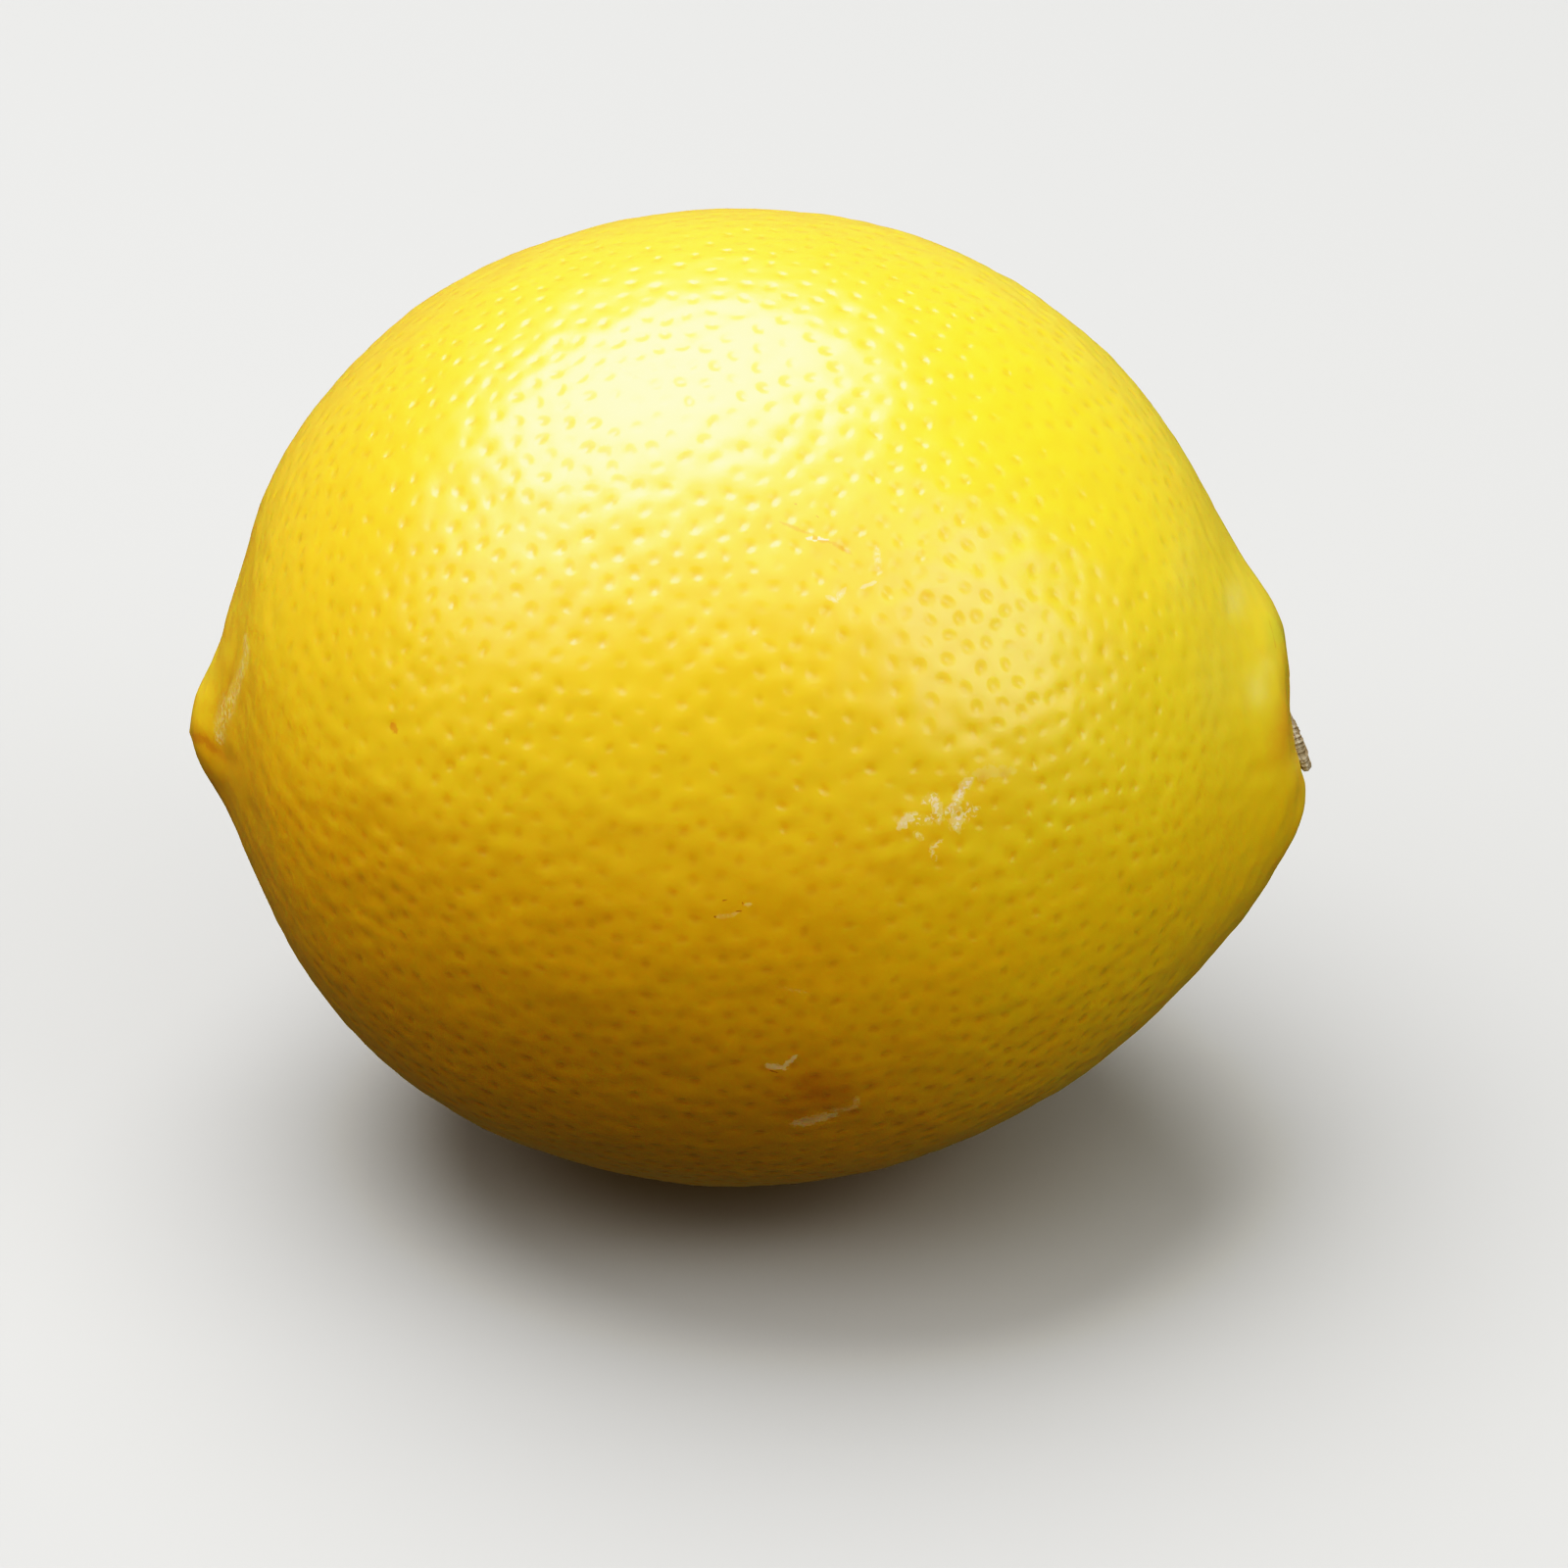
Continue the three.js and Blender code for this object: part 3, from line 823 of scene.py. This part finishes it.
def strokeMask(n, grains):
    # 1 inside a stroke with pointed ends, with ragged sides, and broken into grains where it is flaky
    along, across, flaky = n.parts(n.field("strokePlace", "Vector"))
    ragged = n.math("MULTIPLY", n.math("SUBTRACT", grains, 0.5), peelLook["ragged"])
    taper = n.math("POWER", n.math("ABSOLUTE", along), peelLook["taper"])
    outward = n.math("ADD", n.math("ABSOLUTE", across), taper)
    mask = n.ramp(n.math("ADD", outward, ragged), *peelLook["strokeEdge"], 1.0, 0.0)
    holes = n.math("MULTIPLY", n.ramp(grains, *peelLook["flakeHoles"], 1.0, 0.0), flaky)
    return n.math("MULTIPLY", mask, n.math("SUBTRACT", 1.0, holes))


def grownColour(n, dot):
    # yellow, made lemon or orange by warmth and darker in each pit, then pale patches of painted sheen,
    # green patches, painted shade in the creases and the recess, and blotches that are partly painted shade
    warmth = n.field("warmth")
    colour = n.blend(n.ramp(warmth, 0.0, -1.0), peelLook["yellow"], peelLook["lemon"])
    colour = n.blend(n.ramp(warmth, 0.0, 1.0), colour, peelLook["orange"])
    colour = n.blend(dot, colour, peelLook["pitTint"], "MULTIPLY")
    # painted sheen, on lighter peel, in soft patches on the collar
    colour = n.blend(n.field("palenessAndSheen"), colour, peelLook["palerAndSheen"])
    colour = n.blend(n.field("green"), colour, peelLook["green"])
    # painted shade, darker where a crease is deeper
    crease = n.math("MULTIPLY", n.field("crease"), peelLook["creaseShadeShare"])
    colour = n.blend(crease, colour, peelLook["creaseShade"])
    # painted shade in the recess round the button
    recess = n.ramp(n.field("fromHub"), *peelLook["recessShadeEdge"], 0.0, peelLook["recessShadeShare"])
    colour = n.blend(recess, colour, peelLook["recess"])
    # brown and orange blotches, with painted shade at the notch and beside a crease line
    return n.blend(n.field("stainAndShade"), colour, peelLook["stainAndShadeTint"], "MULTIPLY")


def peelMaterial():
    # the grown colour with its pale, orange and dark strokes, among them a painted highlight and painted
    # shade along a crease line and a painted shadow along a sliver, under a clear coat with dimples and
    # swellings
    n = Nodes("waxyPeel")
    fromPit = n.length(n.field("toPit", "Vector"))
    pitStrength = n.field("pitStrength")
    colour = grownColour(n, n.math("MULTIPLY", n.ramp(fromPit, *peelLook["pitReach"]), pitStrength))
    stroke = strokeMask(n, n.noise(n.place(), *peelLook["grains"]))
    tone = n.field("strokeTone")
    # pale strokes: scuffs, slivers and the furrow, and one painted highlight beside a crease line
    pale = n.math("MULTIPLY", stroke, n.math("MAXIMUM", tone, 0.0))
    # orange strokes: spots, scratches and creases, and painted shade along a crease line
    orangeMarkAndShade = n.math("MULTIPLY", stroke, n.ramp(tone, *peelLook["orangeMarkAndShadeTones"]))
    # dark strokes: specks, and one painted shadow along a sliver
    dark = n.math("MULTIPLY", stroke, n.ramp(tone, *peelLook["darkMarkAndShadowTones"]))
    colour = n.blend(pale, colour, peelLook["pale"])
    colour = n.blend(orangeMarkAndShade, colour, peelLook["orangeMarkAndShadeTint"], "MULTIPLY")
    colour = n.blend(dark, colour, peelLook["darkMarkAndShadow"])
    n.feed(n.shader.inputs["Base Color"], colour)
    rougher = n.math("MULTIPLY", pale, peelLook["paleRoughness"])
    n.feed(n.shader.inputs["Roughness"], n.math("ADD", peelLook["roughness"], rougher))
    dimple = n.math("MULTIPLY", n.ramp(fromPit, *peelLook["dimpleReach"], 1.0, 0.0), pitStrength)
    height = n.math("MULTIPLY", dimple, -peelLook["dimple"])
    swell = n.noise(n.place(), *peelLook["swells"])
    height = n.math("ADD", height, n.math("MULTIPLY", swell, peelLook["swell"]))
    inputs = [("Strength", 1.0), ("Distance", peelLook["bump"]), ("Height", height)]
    n.feed(n.shader.inputs["Coat Normal"], n.add("ShaderNodeBump", inputs).outputs[0])
    n.set(**peelLook["fixed"])
    return n.material


buttonLook = {
    "pale": (0.58, 0.52, 0.40, 1),
    "dark": (0.20, 0.15, 0.09, 1),
    "middle": (0.30, 0.23, 0.14, 1),
    "rimPale": (0.60, 0.54, 0.42, 1),
    "threads": (1.6, 3, 0.65),       # noise in the grain's own measure, and of the specks in metres
    "specks": (5200, 3, 0.6),
    "threadShare": 0.6,
    "darkEdge": (0.34, 0.52),        # mixed noise from dark fibre to middle, and from middle to pale
    "paleEdge": (0.52, 0.66),
    "roughness": 0.85,
    "bump": 0.00007,
}


def buttonMaterial():
    # threads along the spokes and fine specks, mixed into one number that picks dark, middle or pale fibre
    n = Nodes("driedFibre")
    share = buttonLook["threadShare"]
    threads = n.noise(n.field("grainPlace", "Vector"), *buttonLook["threads"])
    specks = n.noise(n.place(), *buttonLook["specks"])
    mix = n.math("ADD", n.math("MULTIPLY", threads, share), n.math("MULTIPLY", specks, 1 - share))
    light = n.blend(n.field("rim"), buttonLook["middle"], buttonLook["rimPale"])
    colour = n.blend(n.ramp(mix, *buttonLook["darkEdge"]), buttonLook["dark"], light)
    colour = n.blend(n.ramp(mix, *buttonLook["paleEdge"]), colour, buttonLook["pale"])
    n.feed(n.shader.inputs["Base Color"], colour)
    n.set(Roughness=buttonLook["roughness"])
    inputs = [("Strength", 1.0), ("Distance", buttonLook["bump"]), ("Height", mix)]
    n.feed(n.shader.inputs["Normal"], n.add("ShaderNodeBump", inputs).outputs[0])
    return n.material


# soft boxes: direction to each from the lemon, and how far it is, how large in metres, and its watts
lights = {
    "overhead": {"way": (-0.18, 0.25, 0.90), "distance": 0.7, "size": (0.82, 0.62), "power": 3.7},
    "frontTop": {"way": (0.0, -0.374, 0.927), "distance": 0.8, "size": (2.1, 0.74), "power": 2.05},
    "left": {"way": (-0.72, -0.25, 0.61), "distance": 0.8, "size": (0.62, 0.56), "power": 0.45},
    "right": {"way": (0.75, -0.40, 0.47), "distance": 0.8, "size": (0.64, 0.56), "power": 0.92},
}
studio = {
    "roomLight": 0.138,          # all round and above
    "lightFromBelow": 0.052,
    "fade": (-0.5, 0.1),         # heights on the sky from the light from below to the room's
    "belowColour": (1.0, 0.86, 0.5, 1),
    "floorSize": 3.0,
    "floorColour": (0.42, 0.42, 0.41, 1),
    "floorRoughness": 0.9,
}


def makeCamera():
    # the aim is the fruit's middle moved by its pixels' distance from the middle of the image
    middle = Vector((-form["middleX"], 0, restHeight)) * millimetre
    width = view["imageSize"] / view["pixelsPerMillimetre"]
    half = view["imageSize"] / 2
    sideways = (half - view["middlePixel"][0]) / view["pixelsPerMillimetre"]
    downwards = (half - view["middlePixel"][1]) / view["pixelsPerMillimetre"]
    aim = middle + Vector((1, 0, 0)) * sideways * millimetre - Vector(up) * downwards * millimetre
    camera = bpy.data.objects.new("camera", bpy.data.cameras.new("camera"))
    camera.data.sensor_width = view["sensor"]
    camera.data.lens = view["sensor"] * view["distance"] / width
    camera.data.clip_start = view["nearest"]
    camera.location = aim + Vector(front) * view["distance"] * millimetre
    camera.rotation_euler = (np.radians(90 - view["elevation"]), 0, 0)
    bpy.context.scene.collection.objects.link(camera)
    bpy.context.scene.camera = camera


def setContrast():
    # the fourth curve is for all three colours at once, from the strength of the light to what is shown
    settings = bpy.context.scene.view_settings
    settings.view_transform = "Standard"
    settings.use_curve_mapping = True
    mapping = settings.curve_mapping
    mapping.extend = "HORIZONTAL"
    curve = mapping.curves[3]
    curve.points[0].location = view["contrast"][0]
    curve.points[-1].location = view["contrast"][-1]
    for spot in view["contrast"][1:-1]:
        curve.points.new(*spot)
    mapping.update()


def makeLights():
    # each soft box stands along its own way from the fruit's middle and faces back to it
    middle = Vector((0, 0, restHeight)) * millimetre
    for name, light in lights.items():
        lamp = bpy.data.lights.new(name, "AREA")
        lamp.shape = "ELLIPSE"
        lamp.size, lamp.size_y = light["size"]
        lamp.energy = light["power"]
        holder = bpy.data.objects.new(name, lamp)
        way = Vector(light["way"]).normalized()
        holder.location = middle + way * light["distance"]
        holder.rotation_euler = way.to_track_quat("Z", "Y").to_euler()
        bpy.context.scene.collection.objects.link(holder)
    makeRoom()


def makeRoom():
    # an even room whose light fades below the level of the surface, where it is weak and warm
    world = bpy.data.worlds.new("studio")
    world.use_nodes = True
    tree = world.node_tree
    height = tree.nodes.new("ShaderNodeSeparateXYZ")
    tree.links.new(tree.nodes.new("ShaderNodeTexCoord").outputs["Generated"], height.inputs[0])
    level = tree.nodes.new("ShaderNodeMapRange")
    level.interpolation_type = "SMOOTHSTEP"
    level.inputs["From Min"].default_value, level.inputs["From Max"].default_value = studio["fade"]
    tree.links.new(height.outputs["Z"], level.inputs["Value"])
    shade = tree.nodes.new("ShaderNodeMix")
    shade.data_type = "RGBA"
    below = [studio["lightFromBelow"] * part for part in studio["belowColour"][:3]]
    shade.inputs[6].default_value = (*below, 1)
    shade.inputs[7].default_value = (*[studio["roomLight"]] * 3, 1)
    tree.links.new(level.outputs["Result"], shade.inputs[0])
    tree.links.new(shade.outputs[2], tree.nodes["Background"].inputs["Color"])
    bpy.context.scene.world = world


def makeFloor():
    # one plain square; little light comes up from it, so that the fruit's underside stays dark
    half = studio["floorSize"] / 2
    corners = [(-half, -half, 0), (half, -half, 0), (half, half, 0), (-half, half, 0)]
    mesh = bpy.data.meshes.new("floor")
    mesh.from_pydata(corners, [], [(0, 1, 2, 3)])
    floor = bpy.data.objects.new("floor", mesh)
    bpy.context.scene.collection.objects.link(floor)
    n = Nodes("paleFloor")
    n.set(Base_Color=studio["floorColour"], Roughness=studio["floorRoughness"])
    mesh.materials.append(n.material)
    floor.visible_diffuse = False
    floor.visible_glossy = False


makeCamera()
setContrast()
print("camera placed")

lemonPeel = makePeel()
lemonPeel.data.materials.append(peelMaterial())
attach(lemonPeel, "root")
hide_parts("lemon_fruit")
print("peel made with", len(lemonPeel.data.vertices), "points")

driedButton = makeButton()
driedButton.data.materials.append(buttonMaterial())
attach(driedButton, "root")
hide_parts("stem_button")
print("stem button made with", len(driedButton.data.vertices), "points")

makeLights()
makeFloor()
print("lights and floor placed")
